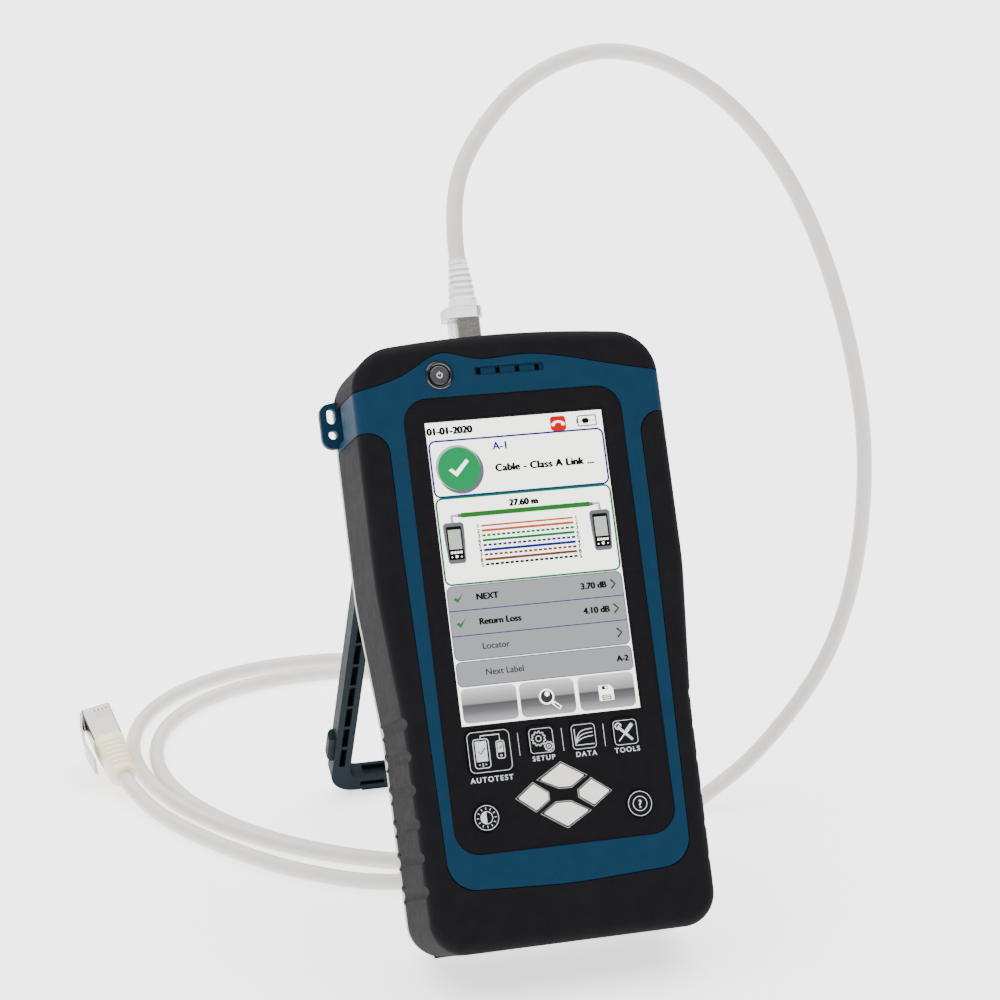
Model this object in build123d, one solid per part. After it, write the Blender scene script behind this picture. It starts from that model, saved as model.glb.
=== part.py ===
from build123d import *
import os
from math import acos, atan2, cos, degrees, hypot, pi, radians, sin, tan

# A handheld copper cable tester with its patch cord, in millimetres.
# The tester is drawn lying in its own local frame: X to the right, Y from the front face (0)
# to the back, Z along its length from the bottom end (0) to the top end. stand_up() then leans
# it back on its kickstand: the row frame has +Z up, the table at z = 0, and its origin under the
# middle of the tester with its stand.

# --- driving dimensions -----------------------------------------------------------------------
LEAN = 27.4             # the tester leans back this many degrees
LENGTH = 250.0          # bottom end to top end
DEPTH = 57.0            # front face to back face
SEAM = 44.0             # where the front and the rear housing meet
HALF_BOTTOM = 59.5      # half widths of the outline
HALF_WAIST = 60.5
HALF_TOP = 65.3
SKIN = 2.0              # thickness of the rubber overmould
WALL = 4.6              # outer face to the inner cavity at the sides
FRONT_WALL = 4.0
FRONT_ROUND = 5.5       # rounding of the front edge
REAR_ROUND = 5.0        # rounding of the rear edge
REAR_STEP = 1.2         # the rear housing is this much narrower at each side
GROOVE = 0.35           # dark line between rubber and housing
BACK_SHIFT = -113.85    # centres the tester with its stand over the origin
FOOT_PROUD = 0.8        # rubber feet stand out of the housing
FOOT_CUT = 0.6          # flat cut into the rear bottom edge

PANEL_HALF = 46.4       # black face panel
PANEL_LOW = 38.3
PANEL_HIGH = 223.9
PANEL_SINK = 0.4
PANEL_THICK = 1.6
GLASS_HALF = 38.3       # touch glass
GLASS_LOW = 88.9
GLASS_HIGH = 214.7

KEY_PROUD = 1.0
KEY_GAP = 0.3
KEY_TRAVEL = 0.5
BUTTON_X, BUTTON_Z = -29.1, 233.0
BUTTON_TRAVEL = 0.8

GRIP_Z = [93.5, 80.5, 67.0, 53.5, 40.0, 26.5]   # finger grooves of the lower grip

JACK_X, JACK_Y = -7.5, 30.0
JACK_TOP = 248.2
PLUG_TIP = 236.0        # the near plug's tip inside the jack
PLUG_LENGTH = 51.5      # tip of the plug to the end of its boot

STAND_HALF = 53.8       # outer half width of the stand
STAND_RAIL = 8.6        # width and thickness of its rails
STAND_BOTTOM = 8.0      # its foot bar, folded, measured along the tester
HINGE_Z = 187.0
HINGE_GAP = 0.4         # folded stand to the back face
HINGE_Y = DEPTH + HINGE_GAP + STAND_RAIL / 2
PIN_R = 2.0
PIN_BORE = 2.05

HUMP_HALF, HUMP_LOW, HUMP_HIGH, HUMP_BACK = 40.0, 20.0, 178.0, 66.0

CORD_D = 7.0
CORD_R = CORD_D / 2

LEAN_SIN, LEAN_COS = sin(radians(LEAN)), cos(radians(LEAN))
RAISE = (DEPTH - REAR_ROUND) * LEAN_SIN - REAR_ROUND * LEAN_COS + REAR_ROUND + FOOT_PROUD - FOOT_CUT


# --- helpers ----------------------------------------------------------------------------------
def stand_up(shape):
    """Move a shape from the tester's local frame to the row frame."""
    return Pos(0, BACK_SHIFT, RAISE) * Rot(-LEAN, 0, 0) * shape


def slab(sketch, y0, y1):
    """Extrude a sketch drawn in local X and Z between two depths."""
    return extrude(Plane.XZ.offset(-y0) * sketch, amount=-(y1 - y0))


def block(x0, x1, y0, y1, z0, z1):
    return Pos((x0 + x1) / 2, (y0 + y1) / 2, (z0 + z1) / 2) * Box(x1 - x0, y1 - y0, z1 - z0)


def closed(points, radii):
    """A closed face whose corners are rounded by the radii."""
    return make_face(FilletPolyline(*points, radius=radii, close=True))


def rounded(x0, x1, z0, z1, radius):
    return closed([(x0, z0), (x1, z0), (x1, z1), (x0, z1)], [radius] * 4)


def peg(radius, x, z, y0, y1):
    return slab(Pos(x, z) * Circle(radius), y0, y1)


def edges_at(solid, axis, place):
    return solid.edges().filter_by_position(axis, place - 0.01, place + 0.01)


# --- outlines ---------------------------------------------------------------------------------
def outline(inset=0.0):
    """The tester's outline from the front, moved inwards by inset."""
    bottom, waist, top = HALF_BOTTOM - inset, HALF_WAIST - inset, HALF_TOP - inset
    low, shoulder, apex = inset, 245.6 - inset, LENGTH + 1.2 - inset
    right = [(bottom, low), (waist, 90), (top, 148), (top, shoulder)]
    left = [(-x, z) for x, z in reversed(right)]
    turns = [14 - inset, 160, 160, 19 - inset]
    return closed(right + [(0, apex)] + left, turns + [500] + turns[::-1])


def frame_shape(grow=0.0):
    """Where the blue housing shows: a frame around the panel, widening into the shoulders."""
    low, bottom, side, top = 23.0 - grow, 50.4 + grow, 53.2 + grow, 211.2 - grow
    right = [(bottom, low + 2.4), (side - 1.2, 110), (side, 165), (side, top), (90, top + 1.5)]
    left = [(-x, z) for x, z in reversed(right)]
    turns = [12, 150, 150, 9, 0.5]
    points = [(0, low)] + right + [(90, 300), (-90, 300)] + left
    return closed(points, [250] + turns + [5, 5] + turns[::-1])


def cap_shape(grow=0.0):
    """The region of the black top cap, with the bump over the power button."""
    curve = Spline(
        (-80, 228.6 - grow), (-55, 230.6 - grow), (-41.5, 235.4 - grow), (-27.5, 242 - grow),
        (-14, 238.9 - grow), (4, 239.2 - grow), (36, 234.4 - grow), (80, 226.6 - grow),
    )
    rim = Polyline((80, 226.6 - grow), (80, 300), (-80, 300), (-80, 228.6 - grow))
    return make_face(curve + rim)


# --- the keys -----------------------------------------------------------------------------------
def arrow(points):
    return closed(points, [0.4] * len(points))


def key_outlines():
    """Each key's outline from the front, in local X and Z."""
    return {
        "key_up": arrow([(1.0, 70.8), (10.1, 65.1), (3.9, 61.4), (-1.0, 61.6), (-8.4, 65.2)]),
        "key_down": arrow([(0.7, 45.7), (10.1, 51.0), (3.0, 55.1), (-2.9, 55.2), (-8.5, 51.8)]),
        "key_left": arrow([(-18.3, 58.9), (-11.5, 53.4), (-6.0, 57.1), (-6.0, 59.6), (-11.5, 63.8)]),
        "key_right": arrow([(19.8, 57.9), (12.8, 53.1), (7.3, 56.9), (7.3, 59.4), (12.8, 63.1)]),
        "key_test": rounded(-37.0, -18.9, 70.3, 87.5, 2.4),
        "key_setup": rounded(-11.3, -0.7, 76.2, 86.8, 1.8),
        "key_data": rounded(6.7, 17.3, 76.0, 86.6, 1.8),
        "key_tools": rounded(24.4, 35.0, 75.7, 86.3, 1.8),
        "key_brightness": Pos(-32.2, 52.8) * Circle(5.5),
        "key_help": Pos(32.0, 51.3) * Circle(5.5),
    }


def panel_shape():
    return rounded(-PANEL_HALF, PANEL_HALF, PANEL_LOW, PANEL_HIGH, 10.5)


# --- front shell ------------------------------------------------------------------------------
def front_blank():
    outer = slab(outline(), 0, SEAM)
    return fillet(edges_at(outer, Axis.Y, 0), FRONT_ROUND)


def rubber_skin():
    core = slab(outline(SKIN), SKIN, SEAM + 1)
    core = fillet(edges_at(core, Axis.Y, SKIN), FRONT_ROUND - SKIN)
    return front_blank() - core


def jack_hole():
    return block(-17.4, 0.4, 21.4, 38.6, 225, 260)


def grip_cuts():
    """Six shallow finger grooves across each side."""
    cuts = []
    for z in GRIP_Z:
        for side in (-1, 1):
            x = side * (HALF_BOTTOM + (HALF_WAIST - HALF_BOTTOM) * z / 90 + 2.0)
            cuts.append(Pos(x, 26, z) * Rot(90, 0, 0) * Cylinder(3.1, 60))
    return cuts


def grip_nub(side, z, radius):
    """A round tab of the rubber that laps over the rear housing at a finger groove."""
    x = side * (HALF_BOTTOM + (HALF_WAIST - HALF_BOTTOM) * z / 90 - 1.1)
    return Pos(x, SEAM - 0.5, z + 0.35) * Rot(0, 90, 0) * Cylinder(radius, 2.7)


def bumper_lower():
    skin = rubber_skin() - slab(frame_shape(GROOVE), -1, SEAM + 1)
    for side in (-1, 1):
        for z in GRIP_Z:
            skin += grip_nub(side, z, 3.8)
    for cut in grip_cuts():
        skin -= cut
    return skin


def bumper_top():
    skin = (rubber_skin() & slab(cap_shape(-GROOVE), -1, SEAM + 1)) - jack_hole()
    return skin - block(-80, -60, 39.2, 43.8, 212, 233.4) - block(60, 80, 39.2, 43.8, 212, 233.4)


def strap_lug(side):
    """A flat eye at the shoulder with a slot over a round hole, and the scoop in front of it."""
    outline_points = [(60, 213.0), (72.0, 213.0), (72.0, 231.6), (60, 233.4)]
    plate = closed([(side * x, z) for x, z in outline_points], [0.5, 4.6, 4.2, 0.5])
    plate -= Pos(side * 67.3, 226.8) * Rot(0, 0, 90) * SlotOverall(6.4, 3.6)
    plate -= Pos(side * 67.3, 218.9) * Circle(1.85)
    return slab(plate, 40.0, 43.4)


def speaker_slots():
    """A shallow recess above the panel with four openings through the wall."""
    slots = [slab(rounded(-14.4, 15.2, 231.8, 235.4, 1.2), -1, 0.8)]
    for x in (-12.4, -4.2, 4.1, 12.6):
        slots.append(block(x - 1.0, x + 1.0, -1, FRONT_WALL + 1, 232.3, 234.9))
    return slots


BOSSES = [(-51, 21), (51, 21), (-53, 222), (53, 222)]


def front_housing():
    body = front_blank()
    body -= rubber_skin() - slab(frame_shape(), -1, SEAM + 1)
    body -= rubber_skin() & slab(cap_shape(), -1, SEAM + 1)
    body -= slab(outline(WALL), FRONT_WALL, SEAM + 1)
    body -= slab(panel_shape(), -1, PANEL_SINK + PANEL_THICK)
    for side in (-1, 1):
        for z in GRIP_Z:
            body -= grip_nub(side, z, 4.1)
    body -= block(-41, 41, -1, 10, 89.2, 217.6)
    for x, z in BOSSES:
        body += peg(3.6, x, z, FRONT_WALL - 0.5, SEAM - 0.4)
        body -= peg(1.25, x, z, 20, SEAM + 1)
    for side in (-1, 1):
        body += strap_lug(side)
        body -= slab(rounded(side * 68 - 4.8, side * 68 + 4.8, 214.5, 231, 3), 29, 40.0)
    for slot in speaker_slots():
        body -= slot
    body -= peg(5.85, BUTTON_X, BUTTON_Z, -1, 10)
    for shape in key_outlines().values():
        body -= slab(offset(shape, KEY_GAP), -1, 10)
    return body - jack_hole()


def face_panel():
    plate = slab(offset(panel_shape(), -0.15), PANEL_SINK, PANEL_SINK + PANEL_THICK)
    plate -= block(-GLASS_HALF - 0.1, GLASS_HALF + 0.1, -1, 5, GLASS_LOW - 0.1, GLASS_HIGH + 0.1)
    for shape in key_outlines().values():
        plate -= slab(offset(shape, KEY_GAP), -1, 5)
    return plate


def make_key(shape):
    """A key: a cap with a softened edge and a flange behind the wall."""
    cap = slab(shape, -KEY_PROUD + PANEL_SINK, FRONT_WALL + 0.4)
    cap = fillet(edges_at(cap, Axis.Y, -KEY_PROUD + PANEL_SINK), 0.35)
    return cap + slab(offset(shape, 0.9), FRONT_WALL + 0.2, FRONT_WALL + 1.0)


# --- display, boards and battery ------------------------------------------------------------
def touch_glass():
    return block(-GLASS_HALF, GLASS_HALF, PANEL_SINK + 0.3, 2.0, GLASS_LOW, GLASS_HIGH)


def lcd_panel():
    return block(-40.6, 40.6, 2.1, 5.6, 89.5, 217.2)


def lcd_frame():
    tray = block(-43, 43, 5.7, 8.0, 88.6, 219.0) - block(-36, 36, 5, 9, 98, 209)
    for x, z in ((-45, 120), (45, 120), (-45, 190), (45, 190)):
        tray += block(min(x, x * 0.9), max(x, x * 0.9), 5.7, 7.0, z - 5, z + 5)
    return tray


def main_board():
    board = slab(rounded(-46, 46, 30, 227, 4), 14, 15.6)
    for x, z in ((-40, 38), (40, 38), (-40, 205), (40, 205)):
        board -= peg(1.6, x, z, 10, 20)
    return board


def board_shields():
    cans = [block(-34, 6, 15.6, 19.6, 150, 196), block(12, 38, 15.6, 18.8, 152, 190)]
    return Compound(cans + [block(-30, 30, 15.6, 19.0, 70, 120)])


def board_posts():
    low = [peg(2.6, x, 38, FRONT_WALL, 14) for x in (-40, 40)]
    high = [peg(2.6, x, 205, 8.0, 14) for x in (-40, 40)]
    return Compound(low + high)


def keypad_board():
    return slab(rounded(-42, 42, 43, 84.6, 3), 6.3, 7.5)


def dome_switches():
    domes = []
    for shape in key_outlines().values():
        c = shape.center()
        domes.append(peg(2.4, c.X, c.Y, 5.6, 6.3))
    return Compound(domes)


def speaker():
    return slab(rounded(-13, 13, 227.6, 238.2, 3), 4.2, 9.5)


def battery_pack():
    return block(-34.5, 34.5, 46.2, 63.2, 27, 171)


def battery_contacts():
    blades = [block(x - 1.2, x + 1.2, 46.2, 52, 171.1, 173.3) for x in (-12, -4, 4, 12)]
    return Compound(blades)


# --- power button ---------------------------------------------------------------------------
def power_ring():
    ring = peg(5.8, BUTTON_X, BUTTON_Z, -0.7, FRONT_WALL) - peg(4.5, BUTTON_X, BUTTON_Z, -2, 9)
    return chamfer(edges_at(ring, Axis.Y, -0.7), 0.4)


def power_button():
    cap = peg(4.1, BUTTON_X, BUTTON_Z, -0.3, 6.6)
    cap = fillet(edges_at(cap, Axis.Y, -0.3), 0.6)
    return cap + peg(5.2, BUTTON_X, BUTTON_Z, FRONT_WALL + 0.3, 5.4)


def power_switch():
    return block(BUTTON_X - 3, BUTTON_X + 3, 7.6, 11.2, BUTTON_Z - 3, BUTTON_Z + 3)


# --- rear shell -----------------------------------------------------------------------------
def rear_housing():
    body = slab(outline(REAR_STEP), SEAM + 0.6, DEPTH)
    body = fillet(edges_at(body, Axis.Y, DEPTH), REAR_ROUND)
    hump = block(-HUMP_HALF, HUMP_HALF, DEPTH - 1, HUMP_BACK, HUMP_LOW, HUMP_HIGH)
    hump = fillet(hump.edges().filter_by(Axis.Y), 6)
    hump = fillet(edges_at(hump, Axis.Y, HUMP_BACK), 2.0)
    body -= slab(outline(WALL), SEAM, DEPTH - 2.6)
    body += hump + block(-37.5, 37.5, SEAM + 0.6, DEPTH, 23, 175.5)
    body -= block(-36, 36, 63.6, 70, 25.5, 174)
    body -= block(-35, 35, 46.1, 70, 26.5, 173.5)
    for side in (-1, 1):
        for x0, x1 in ((40.6, 44.9), (54.1, 57.6)):
            lug = Pos((x0 + x1) / 2, HINGE_Y, HINGE_Z) * Rot(0, 90, 0) * Cylinder(4.2, x1 - x0)
            lug += block(x0, x1, DEPTH - 1, HINGE_Y, HINGE_Z - 4.2, HINGE_Z + 4.2)
            body += lug if side > 0 else mirror(lug, Plane.YZ)
        for z in GRIP_Z:
            body -= grip_nub(side, z, 4.1)
    body -= Pos(0, HINGE_Y, HINGE_Z) * Rot(0, 90, 0) * Cylinder(PIN_R, 140)
    for x, z in BOSSES:
        body -= peg(1.7, x, z, SEAM - 1, DEPTH + 1)
        body -= peg(3.1, x, z, DEPTH - 2.4, DEPTH + 1)
        body += peg(4.0, x, z, SEAM + 0.6, DEPTH - 2.6) - peg(1.7, x, z, SEAM, DEPTH)
    return body


def housing_gasket():
    return slab(outline(REAR_STEP + 2.0) - outline(WALL - 0.6), SEAM, SEAM + 0.6)


def battery_door():
    door = block(-35.7, 35.7, 63.7, HUMP_BACK, 25.8, 173.7)
    door = fillet(door.edges().filter_by(Axis.Y), 2)
    for x in (-28, 28):
        door -= peg(1.6, x, 168.5, 60, 70) + peg(3.0, x, 168.5, HUMP_BACK - 1.2, 70)
    for n in range(5):
        door -= block(-14, 14, HUMP_BACK - 0.6, 70, 34 + 4 * n, 35.6 + 4 * n)
    return door


def screw(head_r, shank_r, x, z, y_head, length):
    head = peg(head_r, x, z, y_head - 1.2, y_head) - block(x - 2, x + 2, y_head - 0.6, 80, z - 0.3, z + 0.3)
    return head + peg(shank_r, x, z, y_head - length, y_head - 1.2)


def door_screws():
    return Compound([screw(2.8, 1.5, x, 168.5, HUMP_BACK, 2.2) for x in (-28, 28)])


def case_screws():
    return Compound([screw(2.9, 1.25, x, z, DEPTH - 1.2, 22) for x, z in BOSSES])


# --- kickstand, drawn folded flat against the back ---------------------------------------------
def stand_u(half, low, high, corner):
    return closed([(-half, low), (half, low), (half, high), (-half, high)], [corner, corner, 0.5, 0.5])


def stand_folded():
    y0 = DEPTH + HINGE_GAP
    y1 = y0 + STAND_RAIL
    inner = STAND_HALF - STAND_RAIL
    shape = slab(stand_u(STAND_HALF, STAND_BOTTOM, HINGE_Z, 12), y0, y1)
    shape -= slab(stand_u(inner, STAND_BOTTOM + STAND_RAIL + 0.4, HINGE_Z + 20, 5), y0 - 1, y1 + 1)
    for side in (-1, 1):
        x = side * (STAND_HALF - STAND_RAIL / 2)
        eye = Pos(x, HINGE_Y, HINGE_Z) * Rot(0, 90, 0) * Cylinder(STAND_RAIL / 2, STAND_RAIL)
        shape += eye
        for n in range(11):
            z = 26 + 14.2 * n
            shape -= block(x - 1.4, x + 1.4, y0 - 1, y0 + 5.5, z, z + 12.4)
        tab = block(STAND_HALF - 0.5, STAND_HALF + 2.8, y0 + 1, y1 - 1, 30, 45)
        tab = chamfer(edges_at(tab, Axis.X, STAND_HALF + 2.8), 1.2)
        shape += tab if side > 0 else mirror(tab, Plane.YZ)
    for n in range(6):
        x = -39.5 + 13.4 * n
        shape -= block(x, x + 11.6, y0 - 1, y0 + 5.5, STAND_BOTTOM + 3, STAND_BOTTOM + 5.6)
    shape -= block(-38, 38, y0 + 1.6, y1 - 1.6, STAND_BOTTOM + 6.6, STAND_BOTTOM + 12)
    return shape - Pos(0, HINGE_Y, HINGE_Z) * Rot(0, 90, 0) * Cylinder(PIN_BORE, 140)


def hinge_height():
    return RAISE - HINGE_Y * LEAN_SIN + HINGE_Z * LEAN_COS


def stand_reach():
    """From the hinge to the foot bar's inner bottom corner."""
    return hypot(HINGE_Z - STAND_BOTTOM, STAND_RAIL / 2)


def stand_angle():
    """How far the stand swings out to bring its foot down to the height of the feet."""
    corner = atan2(STAND_RAIL / 2, HINGE_Z - STAND_BOTTOM)
    return LEAN + degrees(corner + acos((hinge_height() - FOOT_PROUD) / stand_reach()))


def open_stand(shape):
    about = Pos(0, HINGE_Y, HINGE_Z)
    return stand_up(about * Rot(stand_angle(), 0, 0) * about.inverse() * shape)


def stand_pins():
    pins = []
    for side in (-1, 1):
        pin = Pos(side * 49.1, HINGE_Y, HINGE_Z) * Rot(0, 90, 0) * Cylinder(PIN_R, 16.8)
        pins.append(pin)
    return Compound(pins)


def stand_pad(stand):
    """A rubber wedge under the foot bar, with its flat on the table."""
    drop = hinge_height() - FOOT_PROUD
    corner_y = BACK_SHIFT + HINGE_Y * LEAN_COS + HINGE_Z * LEAN_SIN + (stand_reach() ** 2 - drop ** 2) ** 0.5
    return block(-38, 38, corner_y + 0.3, corner_y + 5.3, 0, 4) - stand


# --- the jack and the plugs --------------------------------------------------------------------
def jack_housing():
    body = block(-17, 0, 22, 38, 227.2, JACK_TOP)
    body -= block(JACK_X - 5.2, JACK_X + 5.2, JACK_Y - 6.05, JACK_Y + 6.05, 233, 260)
    return body - block(JACK_X - 8.0, JACK_X - 5.1, JACK_Y - 3.6, JACK_Y + 3.6, 233, 260)


def jack_contacts():
    pins = [block(JACK_X + 1, JACK_X + 2, y - 0.2, y + 0.2, 229, 235.4)
            for y in [JACK_Y + 1.02 * (n - 3.5) for n in range(8)]]
    return Compound(pins)


def plug_shell(thick, wide, length):
    """A shielded plug: tip at the origin, cable towards +Z, latch towards -X."""
    shell = Pos(0, 0, length / 2) * Box(thick, wide, length)
    shell = chamfer(shell.edges().filter_by(Axis.Z), 0.5)
    for n in range(8):
        shell -= Pos(thick / 2, 1.02 * (n - 3.5), 3) * Box(1.6, 0.5, 6.2)
    return shell


def stamped_slots(thick, wide):
    """Fine slots pressed into the two faces beside the far plug's lever."""
    slots = []
    for side in (-1, 1):
        for n in range(4):
            x = thick * (0.14 * n - 0.07)
            slots.append(Pos(x, side * wide / 2, 5.4) * Box(0.6, 1.0, 6.0))
    return slots


def plug_latch_clear():
    """The clear collar behind the shell and the lever that runs from it beside the shell."""
    collar = Pos(-1.3, 0, 27.9) * Box(15.6, 12.6, 4.6)
    collar = fillet(collar.edges().filter_by(Axis.Z), 1.6)
    return collar + Pos(-6.7, 0, 17.4) * Box(1.2, 4.4, 19.0)


def plug_latch_metal():
    """The long bowed metal lever beside the far plug, fixed at the tip."""
    top = FAR_THICK / 2
    spine = [(-top + 0.4, 0.8), (-top - 2.4, 10.0), (-top - 3.6, 21.0), (-top - 2.6, 33.0)]
    back = [(x - 1.2, z) for x, z in spine[::-1]]
    lever = make_face(Polyline(*spine, *back, close=True))
    lever = extrude(Plane.XZ * lever, amount=5.2, both=True)
    return lever + Pos(-top, 0, 1.8) * Box(2.4, 10.4, 2.0)


def boot(start, end, wide, deep, neck):
    """A strain relief that tapers from the plug to the cord."""
    low = Plane.XY.offset(start) * RectangleRounded(wide, deep, 3.5)
    middle = Plane.XY.offset(start + (end - start) * 0.35) * RectangleRounded(wide - 0.6, deep - 0.8, 4.2)
    high = Plane.XY.offset(end) * Circle(neck / 2)
    return loft([low, middle, high])


def near_plug_place():
    return Pos(JACK_X, JACK_Y, PLUG_TIP)


# --- the cord ----------------------------------------------------------------------------------
EXIT_LOCAL = (JACK_X, JACK_Y, PLUG_TIP + PLUG_LENGTH)
FAR_END = Vector(-146, 129.1, 9.5)          # where the cord enters the far boot
FAR_AXIS = Vector(-6.2, 41, 14.9).normalized()   # from there towards the far plug's tip
FAR_LENGTH = 44.0                           # tip of the far plug to the end of its boot
FAR_THICK, FAR_WIDE, FAR_SHELL = 13.6, 12.0, 21.5

ARCH = [
    (-7.5, 56.2, 287.0), (4.0, 67.0, 312.0), (33.0, 74.0, 340.0), (74.0, 77.0, 349.5),
    (120.0, 76.5, 328.0), (157.0, 74.0, 284.0), (183.5, 71.5, 218.0), (196.0, 68.0, 146.0),
    (184.0, 63.0, 69.0), (144.0, 55.0, 21.5), (106.0, 42.0, 3.8), (80.0, 27.0, 3.5),
]
TAIL = [
    (35.0, 7.0, 3.5), (-6.0, -8.5, 3.5), (-50.0, -3.5, 3.5), (-84.5, 19.0, 3.5),
    (-110.0, 49.0, 3.5), (-130.0, 83.5, 3.5), (-141.0, 111.2, 4.4),
]
COIL_X, COIL_OUTER_Y, COIL_INNER_Y, COIL_TURN = -10.0, 134.2, 125.9, 132.0


def tube(name, points):
    """A round cord along straight runs joined by tangent arcs."""
    runs = [Vector(*b) - Vector(*a) for a, b in zip(points, points[1:])]
    radii = []
    for one, two in zip(runs, runs[1:]):
        half_turn = radians(one.get_angle(two)) / 2
        radii.append(0.45 * min(one.length, two.length) / tan(half_turn))
    path = FilletPolyline(*points, radius=radii)
    section = Plane(origin=points[0], z_dir=runs[0]) * Circle(CORD_R)
    solid = sweep(section, path=path)
    print(name, "radii", [round(r) for r in radii], "length", round(path.length, 1),
          "volume ratio", round(solid.volume / (pi * CORD_R ** 2 * path.length), 4))
    return solid


def cord_coil():
    """The outer shape of the two loose turns that lie on the table."""
    outer = Pos(COIL_X, COIL_OUTER_Y) * Rot(0, 0, COIL_TURN) * Ellipse(142, 118)
    inner = Pos(COIL_X, COIL_INNER_Y) * Rot(0, 0, COIL_TURN) * Ellipse(124, 103)
    return extrude(outer - inner, amount=CORD_D)


def far_plug_place():
    tip = FAR_END + FAR_AXIS * FAR_LENGTH
    side = Vector(0.98, 0.085, 0.176)
    side = (side - FAR_AXIS * side.dot(FAR_AXIS)).normalized()
    return Plane(origin=tip, x_dir=side, z_dir=-FAR_AXIS).location


# --- everything ----------------------------------------------------------------------------------
def foot_pads():
    return [Pos(x, pad_y(), FOOT_PROUD / 2 + 0.7) * Box(24, 3.4, FOOT_PROUD + 1.4) for x in (-36, 36)]


def pad_y():
    """The middle of the flat at the rear bottom edge, in the row frame."""
    return BACK_SHIFT + (DEPTH - REAR_ROUND) * LEAN_COS + REAR_ROUND * LEAN_SIN


def make_all():
    parts = {
        "front_housing": stand_up(front_housing()),
        "bumper_top": stand_up(bumper_top()),
        "bumper_lower": stand_up(bumper_lower()),
        "housing_gasket": stand_up(housing_gasket()),
        "face_panel": stand_up(face_panel()),
        "touch_glass": stand_up(touch_glass()),
        "lcd_panel": stand_up(lcd_panel()),
        "lcd_frame": stand_up(lcd_frame()),
        "main_board": stand_up(main_board()),
        "board_shields": stand_up(board_shields()),
        "board_posts": stand_up(board_posts()),
        "keypad_board": stand_up(keypad_board()),
        "dome_switches": stand_up(dome_switches()),
        "speaker": stand_up(speaker()),
        "power_ring": stand_up(power_ring()),
        "power_button": stand_up(power_button()),
        "power_switch": stand_up(power_switch()),
        "battery_pack": stand_up(battery_pack()),
        "battery_contacts": stand_up(battery_contacts()),
        "battery_door": stand_up(battery_door()),
        "door_screws": stand_up(door_screws()),
        "case_screws": stand_up(case_screws()),
        "jack_housing": stand_up(jack_housing()),
        "jack_contacts": stand_up(jack_contacts()),
        "stand_pins": stand_up(stand_pins()),
    }
    for name, shape in key_outlines().items():
        parts[name] = stand_up(make_key(shape))

    pads = foot_pads()
    rear = stand_up(rear_housing())
    rear -= Pos(0, pad_y(), FOOT_PROUD - 10) * Box(200, 40, 20)
    for pad in pads:
        rear -= pad
    parts["rear_housing"] = rear
    parts["foot_pads"] = Compound(pads)

    stand = open_stand(stand_folded())
    pad = stand_pad(stand)
    parts["stand_pad"] = pad - stand
    parts["stand"] = stand

    near = near_plug_place()
    parts["plug_shell"] = stand_up(near * plug_shell(9.8, 11.7, 25.4))
    parts["plug_latch"] = stand_up(near * plug_latch_clear())
    parts["plug_boot"] = stand_up(near * boot(30.3, PLUG_LENGTH, 11.2, 11.4, 8.4))
    far = far_plug_place()
    shell = plug_shell(FAR_THICK, FAR_WIDE, FAR_SHELL)
    for slot in stamped_slots(FAR_THICK, FAR_WIDE):
        shell -= slot
    parts["far_plug_shell"] = far * shell
    parts["far_plug_latch"] = far * plug_latch_metal()
    parts["far_plug_boot"] = far * boot(FAR_SHELL, FAR_LENGTH, 14.2, 14.2, 12.8)

    parts["cord_arch"] = tube("cord_arch", [exit_in_row_frame()] + ARCH)
    parts["cord_coil"] = cord_coil()
    parts["cord_tail"] = tube("cord_tail", TAIL + [(FAR_END.X, FAR_END.Y, FAR_END.Z)])
    return parts


def exit_in_row_frame():
    x, y, z = EXIT_LOCAL
    return (x, BACK_SHIFT + y * LEAN_COS + z * LEAN_SIN, RAISE - y * LEAN_SIN + z * LEAN_COS)


os.makedirs("parts", exist_ok=True)
PARTS = make_all()
for node, solid in PARTS.items():
    export_step(solid, f"parts/{node}.step")
print("stand opens", round(stand_angle(), 2), "raise", round(RAISE, 3), "exit", exit_in_row_frame())
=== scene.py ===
"""A handheld cable tester on its kickstand with its patch cord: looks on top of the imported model.

Drawing on the tester is done in its own local frame, in millimetres: X to the right, Y from the
front face to the back, Z from the bottom end to the top end. LOCAL takes it to the frame of the
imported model, which is in metres.
"""
import math

import bmesh
import bpy
from mathutils import Matrix, Vector


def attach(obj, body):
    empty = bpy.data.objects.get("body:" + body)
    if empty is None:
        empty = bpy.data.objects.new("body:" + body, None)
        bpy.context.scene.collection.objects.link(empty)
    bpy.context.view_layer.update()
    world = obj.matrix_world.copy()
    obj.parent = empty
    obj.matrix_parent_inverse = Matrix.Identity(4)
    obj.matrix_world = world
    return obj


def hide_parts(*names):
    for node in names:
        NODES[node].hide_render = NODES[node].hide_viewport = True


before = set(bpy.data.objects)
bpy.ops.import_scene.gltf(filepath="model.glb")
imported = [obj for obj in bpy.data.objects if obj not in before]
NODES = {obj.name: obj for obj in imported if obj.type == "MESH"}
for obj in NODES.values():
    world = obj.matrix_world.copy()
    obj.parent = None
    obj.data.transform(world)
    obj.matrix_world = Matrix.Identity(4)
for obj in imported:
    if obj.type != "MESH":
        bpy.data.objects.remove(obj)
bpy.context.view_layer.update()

MM = 0.001
LEAN = math.radians(27.4)
BACK_SHIFT = -113.85
RAISE = 24.691
LOCAL = (
    Matrix.Translation((0, BACK_SHIFT * MM, RAISE * MM))
    @ Matrix.Rotation(-LEAN, 4, "X")
    @ Matrix.Scale(MM, 4)
)
BODY = "tester"

CAMERA_PLACE = (-312.7, -969.4 + BACK_SHIFT, 548.5)
CAMERA_RIGHT = (0.9613, -0.2754, 0.0025)
CAMERA_UP = (0.0847, 0.3042, 0.9488)
FOCAL_LENGTH = 102.18
SENSOR_WIDTH = 36
FLOOR_REACH = 6

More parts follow.
